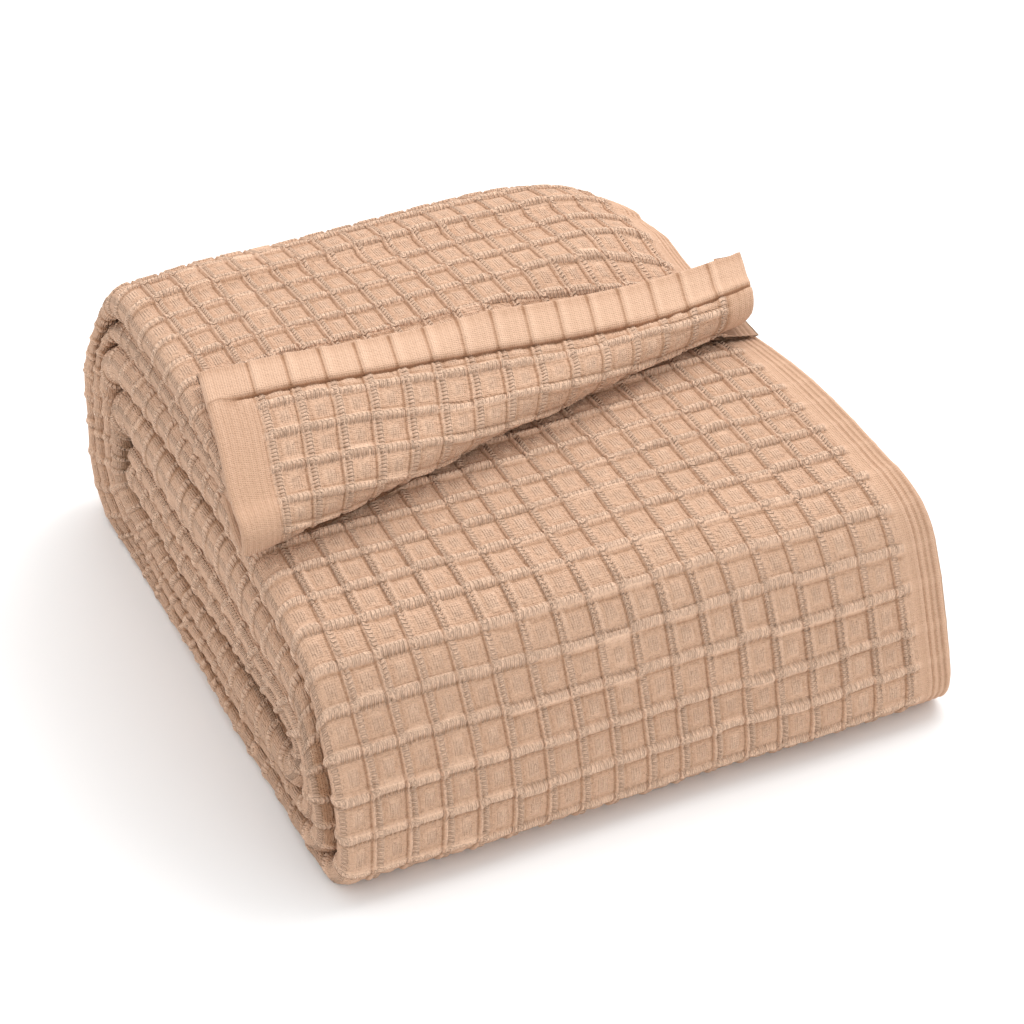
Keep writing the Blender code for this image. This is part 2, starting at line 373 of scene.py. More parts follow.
class Winding:
    """The path of the wound strip and what lies under each place of it."""

    # outer place y, z; inner place y, z; outer band's share; left inset of outer and of under band
    STATIONS: Table = (
        (-96, 190, -96, 172, 0.42, 3.0, 5.0),
        (90, 238, 90, 176, 0.45, 0.0, 3.0),
        (220, 118, 194, 108, 0.50, 0.0, 1.5),
        (215, 13, 184, 27, 0.50, 0.5, 0.5),
        (-222, 6, -176, 27, 0.48, 5.0, 0.5),
        (-208, 75, -183, 62, 0.44, 9.5, 1.0),
        (-163, 150, -172, 92, 0.40, 6.5, 1.0),
        (20, 181, 20, 101, 0.40, 2.0, 1.5),
        (110, 174, 125, 101, 0.42, 1.0, 0.5),
        (192, 100, 153, 80, 0.45, 1.0, 0.0),
        (184, 27, 147, 60, 0.40, 1.0, 0.5),
        (-176, 27, -132, 56, 0.33, 3.0, 1.0),
        (-183, 62, -142, 57, 0.45, 4.0, 6.0),
        (-172, 92, -132, 60, 0.42, 3.0, 6.0),
        (20, 101, 20, 59, 0.36, 2.0, 2.0),
        (132, 101, 127, 59, 0.36, 2.0, 1.0),
    )

    FACE_ROPES: Row = (-92.5, -68.0, -39.0, -10.5, 16.5, 41.0, 63.0, 83.5, 103.5)
    TOP_PITCH = 21.5
    TOP_SETTLES = 2.5
    LEDGE_PITCH = 20.0
    INSIDE_PITCH = 25.5

    def __init__(self, loose: LooseEnd) -> None:
        """Lay out the path at the left end, in even steps of a millimetre."""
        self.loose = loose
        y = np.linspace(-96.0, 90.0, 120)
        top = np.stack([y, loose.top(np.full_like(y, -209.5), y)], axis=1)
        ledge_y = np.linspace(-150.0, 110.0, 140)
        ledge = np.stack([ledge_y, height_on(LEDGE, ledge_y)], axis=1)
        around = np.array(rounded_run(tuple(top[-1]), OUTSIDE, tuple(ledge[0])))
        inner = np.array(rounded_run(tuple(ledge[-1]), SPIRAL, (140.0, 59.0)))
        raw = np.concatenate([top, around[1:], ledge[1:], inner[1:]])
        keep = np.concatenate([[True], np.linalg.norm(np.diff(raw, axis=0), axis=1) > 0.05])
        raw = raw[keep]
        length = np.concatenate([[0.0], np.cumsum(np.linalg.norm(np.diff(raw, axis=0), axis=1))])
        self.s = np.arange(0.0, length[-1], 1.0)
        self.y = np.interp(self.s, length, raw[:, 0])
        self.z = np.interp(self.s, length, raw[:, 1])
        self.top_length = float(np.interp(119, np.arange(len(length)), length))
        self._match()
        self._space_ropes()

    def place_of(self, y: float, z: float, after: float, before: float = 1e9) -> float:
        """Place along the path nearest to a point, between two other places."""
        away = np.hypot(self.y - y, self.z - z)
        away = np.where((self.s < after) | (self.s > before), 1e9, away)
        return float(self.s[int(np.argmin(away))])

    def _match(self) -> None:
        """Find where each station and the place under it lie on the path."""
        outer, inner = [], []
        last_outer, last_inner = 0.0, 900.0
        for row in self.STATIONS:
            last_outer = self.place_of(row[0], row[1], last_outer, last_outer + 560.0)
            last_inner = self.place_of(row[2], row[3], last_inner, last_inner + 560.0)
            outer.append(last_outer)
            inner.append(last_inner)
        self.outer_at = np.array(outer)
        self.inner_at = np.array(inner)
        LOG.info("stations %s under %s", np.round(self.outer_at), np.round(self.inner_at))
        self.end = float(self.outer_at[-1])

    def _space_ropes(self) -> None:
        """Place the ropes: closer on the tops than on the front, back and sole."""
        on_top = self.place_of(32.0, 236.0, 0.0, 400.0)
        face = self.place_of(-187.0, 130.0, 700.0, 1400.0)
        known = [face + gap for gap in self.FACE_ROPES]
        top_end = on_top + 8 * self.TOP_PITCH
        between = round((known[0] - top_end) / 25.5)
        first = 8 + between
        after = known[-1] + 10 * self.LEDGE_PITCH
        last = after + 60 * self.INSIDE_PITCH
        self.rope_s = np.array([on_top - 8 * self.TOP_PITCH, on_top, top_end, *known, after, last])
        ranks = [-8, 0, 8, *range(first, first + len(known))]
        self.rope_rank = np.array([*ranks, ranks[-1] + 10, ranks[-1] + 70], dtype=float)

    def cloth_of(self, s: np.ndarray, weave: Weave) -> np.ndarray:
        """Place along the cloth of each place along the path."""
        return np.interp(s, self.rope_s, self.rope_rank) * weave.cell_along

    def path_of(self, v: np.ndarray, weave: Weave) -> np.ndarray:
        """Place along the path of each place along the cloth."""
        return np.interp(v / weave.cell_along, self.rope_rank, self.rope_s)

    def softened(self, at: np.ndarray, values: np.ndarray, s: np.ndarray) -> np.ndarray:
        """Values between stations, with the corners rounded off."""
        grid = np.arange(self.outer_at[0] - 80.0, self.outer_at[-1] + 80.0, 4.0)
        raw = np.interp(grid, at, values)
        weight = np.hanning(17)
        smooth = np.convolve(np.pad(raw, 8, mode="edge"), weight / weight.sum(), mode="valid")
        return np.interp(s, grid, smooth)

    def column(self, index: int) -> np.ndarray:
        """One column of the station table."""
        return np.array([row[index] for row in self.STATIONS], dtype=float)

    def layers(self, s: np.ndarray, x: np.ndarray) -> tuple[np.ndarray, np.ndarray]:
        """Outer surface and the surface of the turn under it, for places along the path.

        Args:
            s: Places along the path, one for each row.
            x: Places along the roll, one for each point of the grid.

        Returns:
            Two arrays of depth and height for each point of the grid.
        """
        shape = np.broadcast(s[:, None], x).shape
        under_s = np.interp(s, self.outer_at, self.inner_at)
        past = np.maximum(s - self.outer_at[-1], 0.0)
        under_s = under_s + past
        outer = np.stack([np.interp(s, self.s, self.y), np.interp(s, self.s, self.z)], axis=-1)
        inner = np.stack([np.interp(under_s, self.s, self.y), np.interp(under_s, self.s, self.z)], axis=-1)
        outer = np.broadcast_to(outer[:, None, :], shape + (2,)).copy()
        inner = np.broadcast_to(inner[:, None, :], shape + (2,)).copy()
        on_top = s < self.top_length
        if on_top.any():
            y = outer[on_top, :, 0]
            xs = np.broadcast_to(x, shape)[on_top]
            hidden = np.clip((-26.0 - y) / 70.0, 0.0, 1.0)
            start = self.loose.fold(xs) + self.loose.nose - 2.0
            moved = -26.0 - (-26.0 - start) * hidden
            y = np.where(y < -26.0, moved, y)
            outer[on_top, :, 0] = y
            outer[on_top, :, 1] = self.loose.top(xs, y) - self.TOP_SETTLES
            inner[on_top, :, 0] = y
            inner[on_top, :, 1] = height_on(LEDGE, y)
        return outer, inner


@dataclass
class ClothPiece:
    """A grid of cloth written as a mesh, with its flat places and its hollows, whose relief carries painted shade."""

    name: str
    points: np.ndarray
    u: np.ndarray
    v: np.ndarray
    # relief: the weave's height with painted shade in its hollows and folds, which the finish turns into colour
    relief: np.ndarray
    plain: np.ndarray
    flat: tuple[float, float]

    def build(self, material: bpy.types.Material) -> bpy.types.Object:
        """Make the object: one grid, moved to the cloth's points.

        Args:
            material: Finish of the cloth.

        Returns:
            The finished object, linked to the scene and placed on the root body.
        """
        rows, columns = self.points.shape[:2]
        maker = bmesh.new()
        bmesh.ops.create_grid(maker, x_segments=columns - 1, y_segments=rows - 1, size=1.0)
        mesh = bpy.data.meshes.new(self.name)
        maker.to_mesh(mesh)
        maker.free()
        count = len(mesh.vertices)
        raw = np.empty(count * 3)
        mesh.vertices.foreach_get("co", raw)
        raw = raw.reshape(-1, 3)
        i = np.rint((raw[:, 0] + 1.0) / 2.0 * (columns - 1)).astype(int)
        j = np.rint((raw[:, 1] + 1.0) / 2.0 * (rows - 1)).astype(int)
        mesh.vertices.foreach_set("co", (self.points[j, i] * MM).ravel())
        self._paint(mesh, i, j)
        mesh.shade_smooth()
        mesh.materials.append(material)
        mesh.update()
        piece = bpy.data.objects.new(self.name, mesh)
        bpy.context.scene.collection.objects.link(piece)
        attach(piece, "root")
        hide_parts("blanket")
        LOG.info("%s: %d faces", self.name, len(mesh.polygons))
        return piece

    def _paint(self, mesh: bpy.types.Mesh, i: np.ndarray, j: np.ndarray) -> None:
        """Write the flat places as a UV map, and the relief with its painted shade and the border as attributes."""
        corner = np.empty(len(mesh.loops), dtype=np.int32)
        mesh.loops.foreach_get("vertex_index", corner)
        weave = Weave()
        flat = np.stack([self.u[j, i] / weave.cell_across, self.v[j, i] / weave.cell_along], axis=1)
        layer = mesh.uv_layers.new(name="cells")
        layer.data.foreach_set("uv", flat[corner].ravel())
        # the relief attribute carries painted shade into the colour
        for name, values in (("relief", self.relief), ("border", self.plain)):
            attribute = mesh.attributes.new(name, "FLOAT", "POINT")
            attribute.data.foreach_set("value", values[j, i].astype(np.float32))


@dataclass
class WoundBand:
    """Part of one of the two bands of the strip: outer ply, left fold and inner ply."""

    name: str
    turn: Turn
    start: float
    end: float
    fine: bool = False
    face: bool = True  # the outer ply shows, so it has all its cells
    trim: float = 0.0

    FOLD_DEPTH = 15.0
    FOLD_RELIEF = 0.55
    RIM_RUN = 8.0
    RIM_SHARE = 0.43
    RIM_BULGE = 3.0
    FOLD_LINES = (-26.0, -21.0, -17.0, -13.5, -10.5, -8.0, -5.5, -3.0, -1.0, 1.0, 3.0, 5.5, 8.0, 10.5, 13.5)
    OVER_FOLD = 5.1
    GAP = 2.0

    def build(self, winding: Winding, weave: Weave, right: RightEnd) -> ClothPiece:
        """Lay the band on the winding.

        Args:
            winding: Path of the strip.
            weave: Cells of the cloth.
            right: Shape of the right end.

        Returns:
            The piece, ready to be written.
        """
        first, last = winding.cloth_of(np.array([self.start, self.end]), weave)
        v = weave.along_lines(float(first), float(last), self.fine)
        s = winding.path_of(v, weave)
        full = weave.width + self.OVER_FOLD
        if self.face:
            outer = weave.across_lines(16.0, full - 1.0, self.fine)
            outer = np.concatenate([outer[outer > 16.0], [full - 0.4]])
        else:
            outer = np.array([17.0, 24.0, 34.0, 60.0, 120.0, 200.0, 290.0, 360.0, full - 30, full - 8, full])
        inner = -np.array([full, full - 8, full - 30, 300.0, 200.0, 110.0, 60.0, 36.0])
        edge = full + self.RIM_RUN * np.array((0.12, 0.3, 0.5, 0.7, 0.85, 1.0))
        w = np.concatenate([-edge[::-1], inner, np.array(self.FOLD_LINES), outer, edge])
        return self._lay(winding, weave, right, s, v, w)

    def _lay(
        self,
        winding: Winding,
        weave: Weave,
        right: RightEnd,
        s: np.ndarray,
        v: np.ndarray,
        w: np.ndarray,
    ) -> ClothPiece:
        """Work out every point of the band.

        Args:
            winding: Path of the strip.
            weave: Cells of the cloth.
            right: Shape of the right end.
            s: Places along the path.
            v: The same places along the cloth.
            w: Places across the cloth, 0 on the left fold.

        Returns:
            The piece.
        """
        full = weave.width + self.OVER_FOLD
        rim = np.clip((np.abs(w) - full) / self.RIM_RUN, 0.0, 1.0)[None, :]
        at = np.minimum(np.abs(w), full)
        share_x = np.clip((at - self.OVER_FOLD) / weave.width, 0.0, 1.0)
        flat_x = right.left + share_x * weave.width
        grid_x = np.broadcast_to(flat_x[None, :], (len(s), len(w)))
        outer, inner = winding.layers(s, grid_x)
        drop = outer - inner
        thick = np.linalg.norm(drop, axis=-1)
        out = drop / np.maximum(thick, 1e-6)[..., None]
        split = winding.softened(winding.outer_at, winding.column(4), s)[:, None]
        inset = winding.softened(
            winding.outer_at, winding.column(5 if self.turn is Turn.OUTER else 6), s
        )
        wavy = 1.3 * np.sin(s / 47.0 + (0.0 if self.turn is Turn.OUTER else 2.0)) + 0.8 * np.sin(s / 21.0)
        inset = (inset + wavy * 0.6 + 1.2)[:, None]
        if self.turn is Turn.OUTER:
            near, far = np.zeros_like(thick), thick * split - self.GAP / 2
        else:
            near, far = thick * split + self.GAP / 2, thick - self.GAP
        far = np.maximum(far, near + 3.0)
        tall = (far - near) / 2
        deep = np.minimum(self.FOLD_DEPTH, tall)
        quarter = math.pi / 2 * np.sqrt((tall**2 + deep**2) / 2)
        angle = np.clip(w[None, :] / quarter, -1.0, 1.0) * math.pi / 2
        pinch = 1.3 * np.cos(angle) * (self.turn is Turn.UNDER)
        depth = near + tall - (tall - pinch) * np.sin(angle)
        on_fold = deep * (1.0 - np.cos(angle))
        past_fold = np.maximum(np.abs(w)[None, :] - quarter, 0.0)
        start_x = right.left + inset + on_fold
        end_x = right.end_at(outer[..., 0], outer[..., 1])
        cut = 2.0 + self.trim + 1.4 * np.sin(s / 53.0)[:, None]
        cut = np.where(w[None, :] < 0.0, cut + 7.0, cut)
        reach = np.maximum(full - quarter, 1.0)
        share = np.clip(past_fold / reach, 0.0, 1.0)
        x = start_x + (end_x - cut - right.left - inset - deep) * share
        x = x + self.RIM_BULGE * np.sin(math.pi * np.minimum(rim * 1.15, 1.15))
        u = np.broadcast_to((w - self.OVER_FOLD)[None, :], x.shape)
        v = np.broadcast_to(v[:, None], x.shape)
        plain = np.where(w[None, :] > 0, weave.left_edge_plain(u), 0.0) * np.ones_like(x)
        relief = weave.relief(u, v, plain)
        seen = smooth_step(w, -30.0, -20.0)
        if not self.face:
            seen = seen * (1.0 - smooth_step(w, 22.0, 40.0))
        calm = relief + weave.waves(u, v) * smooth_step(w, 4.0, 40.0)[None, :]
        calm = np.maximum(calm, -0.6) if self.turn is Turn.UNDER else calm
        calm = calm * seen[None, :]
        calm = calm * (self.FOLD_RELIEF + (1.0 - self.FOLD_RELIEF) * smooth_step(w, 8.0, 26.0))[None, :]
        depth = depth + np.sign(w)[None, :] * rim * (far - near) * self.RIM_SHARE
        normal_out = np.sin(angle)
        normal_left = np.cos(angle)
        yz = outer - out * depth[..., None] + out * (calm * normal_out)[..., None]
        x = x - calm * normal_left
        points = np.concatenate([x[..., None], yz], axis=-1)
        points = right.settled(points, end_x)
        points[..., 2] = np.maximum(points[..., 2], 0.3)
        # Painted shade: darker near the ends of each fold's bend on the hidden sides, and in the weave's hollows, on
        # top of colour from the relief.
        painted_crease_shade = np.clip(np.abs(np.sin(angle)), 0.0, 1.0) ** 4
        hidden = (w < 0.0) | (self.turn is Turn.UNDER)
        shade = relief * seen - 1.6 * weave.hollows(u, v, plain) - 2.8 * painted_crease_shade * hidden[None, :]
        flat = (2.0 * full * MM, float(s[-1] - s[0]) * MM)
        return ClothPiece(self.name, points, u, v, shade, plain, flat)


@dataclass
class TurnedFlap:
    """The loose end, turned back over the roll, with its hem and side borders."""

    name: str = "turned_flap"
    border: float = 27.0
    hem: float = 25.0
    wall: float = 4.5
    tuck: float = 62.0
    closer: float = 1.2
    stiff: float = 60.0
    softer: float = 0.85
    close_hem: float = 3.5
    right_at: Row = (0.0, 45.0, 80.0, 130.0)
    right_end: Row = (170.0, 162.0, 146.0, 100.0)
    phase: float = 9.0

    EDGE: Table = ((-112, -210), (-80, -207), (-52, -202), (-24, -198), (5, -193))

    def build(self, winding: Winding, weave: Weave, right: RightEnd) -> ClothPiece:
        """Lay the flap from its hem, over the fold and in under the outer turn.

        Args:
            winding: Path of the strip, for its loose end.
            weave: Cells of the cloth.
            right: Shape of the right end.

        Returns:
            The piece, ready to be written.
        """
        loose = winding.loose
        weave = replace(weave, rib_height=0.1, rib_shade=0.1)
        longest = 132.0 + loose.nose * 3.0 + self.tuck
        v = (weave.along_lines(self.phase, longest * self.closer + self.phase, True) - self.phase) / self.closer
        hem_lines = np.array([self.hem - 1.6, self.hem - 0.8, self.hem, self.hem + 0.8, self.hem + 1.6])
        v = np.unique(np.concatenate([v, hem_lines, [0.8, 2.0]]))
        v = np.concatenate([[-26.0, -18.0, -10.0, -6.4, -4.8, -3.2, -1.6], v])
        width = 374.0
        u = weave.across_lines(0.0, width, True)
        u = np.concatenate([[-22.0, -14.0, -8.4, -6.3, -4.2, -2.1], u])
        u = np.concatenate([u, width + np.array([2.1, 4.2, 6.3, 8.4, 14.0, 22.0])])
        return self._lay(winding, weave, right, u, v, width, longest)

    def _profile(self, loose: LooseEnd, x: float, longest: float) -> tuple[np.ndarray, np.ndarray]:
        """Section of the flap at x.

        Args:
            loose: The fold's and the hem's lines.
            x: Place along the roll.
            longest: How far the section has to run.

        Returns:
            Lengths along the section, and its points.
        """
        xs = np.array([x])
        mouth = float(loose.fold(xs)[0]) + loose.nose
        hem_y = float(loose.hem(xs)[0])
        lift = loose.gap + loose.thickness
        nose_z = float(height_on(LEDGE, np.array([mouth]))[0]) + loose.gap + loose.nose
        y = np.linspace(hem_y, mouth + 4.0, 24)
        lift = lift - self.close_hem * (1.0 - smooth_step(hem_y - y, 8.0, 55.0))
        top = np.stack([y, loose.top(np.full_like(y, x), y) + lift], axis=1)
        a = np.radians(np.linspace(158.0, 0.0, 18))
        nose = np.stack([mouth - loose.nose * np.sin(a), nose_z - loose.nose * np.cos(a)], axis=1)
        back = np.linspace(mouth + 3.0, mouth + 180.0, 30)
        under = np.stack([back, height_on(LEDGE, back) + loose.gap], axis=1)
        run = np.concatenate([top, nose, under])
        length = np.concatenate([[0.0], np.cumsum(np.linalg.norm(np.diff(run, axis=0), axis=1))])
        even = np.arange(0.0, min(length[-1], longest + 6.0), 1.5)
        flat = np.stack([np.interp(even, length, run[:, k]) for k in (0, 1)], axis=1)
        weight = np.hanning(9) / np.hanning(9).sum()
        soft = np.stack(
            [np.convolve(np.pad(flat[:, k], 4, mode="edge"), weight, mode="valid") for k in (0, 1)], axis=1
        )
        length = np.concatenate([[0.0], np.cumsum(np.linalg.norm(np.diff(soft, axis=0), axis=1))])
        return length, soft

    def _lay(
        self,
        winding: Winding,
        weave: Weave,
        right: RightEnd,
        u: np.ndarray,
        v: np.ndarray,
        width: float,
        longest: float,
    ) -> ClothPiece:
        """Work out every point of the flap.

        Args:
            winding: Path of the strip.
            weave: Cells of the cloth.
            right: Shape of the right end.
            u: Places across the flap, negative where the left edge turns under.
            v: Places along the flap, negative where the hem's edge turns under.
            width: Width of the flap between its edges.
            longest: Length of the flap's section.

        Returns:
            The piece.
        """
        loose = winding.loose
        on_u = np.clip(u, 0.0, width)
        on_v = np.clip(v, 0.0, longest)
        centre_x = -200.0 + on_u / width * 362.0
        yz = np.empty((len(v), len(u), 2))
        out = np.empty_like(yz)
        for k, x in enumerate(centre_x):
            length, run = self._profile(loose, float(x), longest)
            for axis in (0, 1):
                yz[:, k, axis] = np.interp(on_v, length, run[:, axis])
            step = np.stack(
                [np.interp(on_v + 1.5, length, run[:, a]) - np.interp(on_v - 1.5, length, run[:, a]) for a in (0, 1)],
                axis=1,
            )
            step = step / np.maximum(np.linalg.norm(step, axis=1), 1e-6)[:, None]
            out[:, k, 0], out[:, k, 1] = -step[:, 1] * -1.0, step[:, 0] * -1.0
        left = ramp(yz[..., 0], [r[0] for r in self.EDGE], [r[1] for r in self.EDGE])
        end_x = right.end_at(yz[..., 0], yz[..., 1])
        last = np.minimum(ramp(on_v, self.right_at, self.right_end)[:, None], end_x + 58.0)
        share = (on_u / width)[None, :]
        x = left + (last - left) * share
        across = np.broadcast_to(u[None, :], x.shape)
        along = np.broadcast_to(v[:, None], x.shape)
        drop_u = np.maximum(-u, 0.0) + np.maximum(u - width, 0.0)
        drop_v = np.maximum(-v, 0.0)
        x, yz = self._turn_edges(x, yz, out, u, v, drop_u, drop_v, width)
        border = 1.0 - smooth_step(across, self.border - 2.0, self.border + 1.5)
        border = np.maximum(border, smooth_step(across, width - 21.0, width - 18.0))
        hem = 1.0 - smooth_step(along, self.hem - 1.0, self.hem + 0.6)
        plain = np.maximum(border, hem)
        cloth_u = across - self.border - 4.0 + weave.first_ladder + 2.0 * weave.cell_across
        cloth_v = along * self.closer + self.phase
        relief = weave.relief(cloth_u, cloth_v, plain) * self.softer
        shift = nearest_signed(cloth_u - weave.first_ladder, weave.cell_across)
        faint = 1.2 * bump_at(shift, 1.6) * hem * (1.0 - border)
        faint = faint - 0.9 * bump_at(shift + 3.4, 1.0) * hem * (1.0 - border)
        groove = -2.6 * bump_at(along - self.hem, 1.3) * smooth_step(across, 8.0, 22.0)
        raised = 1.7 * hem * (1.0 - bump_at(along - 0.0, 5.0) * 0.6)
        pucker = 0.5 * np.sin(across / 3.1 + np.sin(across / 17.0)) * bump_at(along - self.hem - 3.0, 4.0)
        sag = 1.6 * np.sin(across / 52.0 + along / 41.0) + 1.1 * np.sin(across / 27.0 - along / 30.0)
        seen = (drop_u < 3.0)[None, :] * (drop_v < 3.0)[:, None]
        relief = relief + faint + groove + raised + pucker
        shown = (relief + sag * 0.5) * seen
        yz = yz + out * shown[..., None] - out * 1.0
        points = np.concatenate([x[..., None], yz], axis=-1)
        held = self.stiff * (1.0 - smooth_step(on_v, 60.0, 110.0))[:, None]
        points = right.settled(points, np.maximum(end_x, points[..., 0]) + held)
        flat = (float(u[-1] - u[0]) * MM, float(v[-1] - v[0]) * MM)
        # Painted shade: colour from the relief, darker in the weave's hollows and beside each stripe of the hem; the
        # hem and borders are set darker, with a dark line along the right border's inner edge.
        shade = relief - 1.8 * weave.hollows(cloth_u, cloth_v, plain) - 0.9 * hem - 0.3 * border
        shade = shade - 1.5 * bump_at(shift + 3.4, 1.4) * hem * (1.0 - border)
        shade = shade - 2.0 * bump_at(across - width + 19.5, 1.3) * (1.0 - hem)
        return ClothPiece(self.name, points, cloth_u, cloth_v, shade, plain, flat)

    def _turn_edges(
        self,
        x: np.ndarray,
        yz: np.ndarray,
        out: np.ndarray,
        u: np.ndarray,
        v: np.ndarray,
        drop_u: np.ndarray,
        drop_v: np.ndarray,
        width: float,
    ) -> tuple[np.ndarray, np.ndarray]:
        """Roll the side and hem edges under.

        Args:
            x: Places along the roll.
            yz: Depths and heights.
            out: Outward directions in the section.
            u: Places across the flap.
            v: Places along the flap; not used.
            drop_u: How far each column is past a side edge.
            drop_v: How far each row is past the hem's edge.
            width: Width of the flap; not used.

        Returns:
            New places along the roll, and new depths and heights.
        """
        radius = self.wall / 2
        half_turn = math.pi * radius
        angle_u = np.clip(drop_u / half_turn, 0.0, 1.0) * math.pi
        under_u = np.maximum(drop_u - half_turn, 0.0)
        side = np.where(u < 0, -1.0, 1.0)
        x = x + (side * (radius * np.sin(angle_u) - under_u))[None, :]
        sink = (radius * (1.0 - np.cos(angle_u)))[None, :] * np.ones_like(x)
        hem_radius = 3.2
        hem_turn = math.pi * hem_radius
        angle_v = np.clip(drop_v / hem_turn, 0.0, 1.0) * math.pi
        under_v = np.maximum(drop_v - hem_turn, 0.0)
        sink = np.maximum(sink, (hem_radius * (1.0 - np.cos(angle_v)))[:, None])
        along = np.stack([out[..., 1], -out[..., 0]], axis=-1)
        slide = (hem_radius * np.sin(angle_v) - under_v)[:, None]
        yz = yz + along * slide[..., None] - out * sink[..., None]
        return x, yz


@dataclass(frozen=True)
class CottonFinish:
    """Matt tan cotton with the loops of its weave, painted shade in its hollows and a painted highlight on its
    crests.
    """

    # deep is the painted shade colour of hollows and folds; mid is the cloth's own tan; high is the painted highlight
    # colour of the crests
    deep: tuple[float, float, float] = (0.40, 0.215, 0.122)
    mid: tuple[float, float, float] = (0.64, 0.40, 0.268)
    high: tuple[float, float, float] = (0.87, 0.585, 0.415)
    loops: float = 8.0
    rungs: float = 9.0
    rope_reach: float = 0.165
    ladder_reach: float = 0.12
    bump: float = 0.0017

    def make(self) -> bpy.types.Material:
        """Build the material.

        Returns:
            The material, with its pattern on the cloth's own cells.
        """
        material = bpy.data.materials.new("tan waffle cotton")
        material.use_nodes = True
        tree = material.node_tree
        shader = tree.nodes["Principled BSDF"]
        shader.inputs["Roughness"].default_value = 0.95
        shader.inputs["Specular IOR Level"].default_value = 0.15
        shader.inputs["Sheen Weight"].default_value = 0.06
        shader.inputs["Sheen Roughness"].default_value = 0.6
        self._nodes(tree, shader)
        return material

    def _math(self, tree: bpy.types.NodeTree, kind: str, *values: object) -> bpy.types.NodeSocket:
        """Add a math node.

        Args:
            tree: Where to add it.
            kind: Its operation.
            values: Sockets or numbers for its inputs.

        Returns:
            Its output.
        """
        node = tree.nodes.new("ShaderNodeMath")
        node.operation = kind
        for socket, value in zip(node.inputs, values):
            if isinstance(value, bpy.types.NodeSocket):
                tree.links.new(value, socket)
            else:
                socket.default_value = value
        return node.outputs[0]

    def _bell(self, tree: bpy.types.NodeTree, away: bpy.types.NodeSocket, reach: float) -> bpy.types.NodeSocket:
        """1 where away is small, falling to 0 at reach."""
        node = tree.nodes.new("ShaderNodeMapRange")
        node.interpolation_type = "SMOOTHSTEP"
        node.inputs["From Min"].default_value = reach
        node.inputs["From Max"].default_value = reach * 0.45
        tree.links.new(away, node.inputs["Value"])
        return node.outputs["Result"]

    def _attribute(self, tree: bpy.types.NodeTree, name: str) -> bpy.types.NodeSocket:
        """Value of a named attribute."""
        node = tree.nodes.new("ShaderNodeAttribute")
        node.attribute_name = name
        return node.outputs["Fac"]

    def _nodes(self, tree: bpy.types.NodeTree, shader: bpy.types.Node) -> None:
        """Wire colour and bump: loops on ropes, rungs on ladders, plain weave between.

        Args:
            tree: The material's nodes.
            shader: The shader they feed.
        """
        weave = Weave()
        cells = tree.nodes.new("ShaderNodeUVMap")
        cells.uv_map = "cells"
        cells.name = "cells"
        split = tree.nodes.new("ShaderNodeSeparateXYZ")
        tree.links.new(cells.outputs[0], split.inputs[0])
        u = self._math(tree, "SUBTRACT", split.outputs[0], weave.first_ladder / weave.cell_across)
        v = split.outputs[1]
        waffle = self._math(tree, "SUBTRACT", 1.0, self._attribute(tree, "border"))
        away_u = self._math(tree, "ABSOLUTE", self._centred(tree, u))
        away_v = self._math(tree, "ABSOLUTE", self._centred(tree, v))
        on_rope = self._bell(tree, away_v, self.rope_reach)
        on_ladder = self._bell(tree, away_u, self.ladder_reach)
        noise = self._noise(tree, cells.outputs[0], 9.0)
        drift = self._noise(tree, cells.outputs[0], 2.6)
        bend = self._math(tree, "MULTIPLY", self._math(tree, "MULTIPLY", away_v, away_v), 14.0)
        loop_at = self._math(tree, "ADD", self._math(tree, "MULTIPLY", u, self.loops), bend)
        loop_at = self._math(tree, "ADD", loop_at, self._math(tree, "MULTIPLY", drift, 1.6))
        loops = self._wave(tree, loop_at)
        rungs = self._wave(tree, self._math(tree, "MULTIPLY", v, self.rungs))
        threads = self._wave(tree, self._math(tree, "MULTIPLY", u, 15.0))
        picks = self._wave(tree, self._math(tree, "MULTIPLY", v, 17.0))
        fine = self._math(tree, "MULTIPLY", self._math(tree, "MULTIPLY", threads, picks), 0.28)
        rough = self._math(tree, "MULTIPLY_ADD", waffle, 1.1, 0.4)
        fine = self._math(tree, "ADD", fine, self._math(tree, "MULTIPLY", noise, rough))
        raised = self._math(tree, "MULTIPLY", self._math(tree, "MULTIPLY", on_rope, loops), waffle)
        rails = self._math(tree, "MULTIPLY", self._math(tree, "MULTIPLY", on_ladder, rungs), waffle)
        floats = self._floats(tree, u, v)
        detail = self._math(tree, "MAXIMUM", raised, self._math(tree, "MULTIPLY", rails, 1.1))
        detail = self._math(tree, "MAXIMUM", detail, self._math(tree, "MULTIPLY", floats, waffle))
        height = self._math(tree, "ADD", detail, fine)
        bump = tree.nodes.new("ShaderNodeBump")
        bump.inputs["Strength"].default_value = 1.0
        bump.inputs["Distance"].default_value = self.bump
        tree.links.new(height, bump.inputs["Height"])
        tree.links.new(bump.outputs[0], shader.inputs["Normal"])
        self._colour(tree, shader, height)

    def _noise(
        self, tree: bpy.types.NodeTree, at: bpy.types.NodeSocket, scale: float
    ) -> bpy.types.NodeSocket:
        """Uneven values over the cells."""
        node = tree.nodes.new("ShaderNodeTexNoise")
        node.inputs["Scale"].default_value = scale
        node.inputs["Detail"].default_value = 3.0
        tree.links.new(at, node.inputs["Vector"])
        return node.outputs[0]

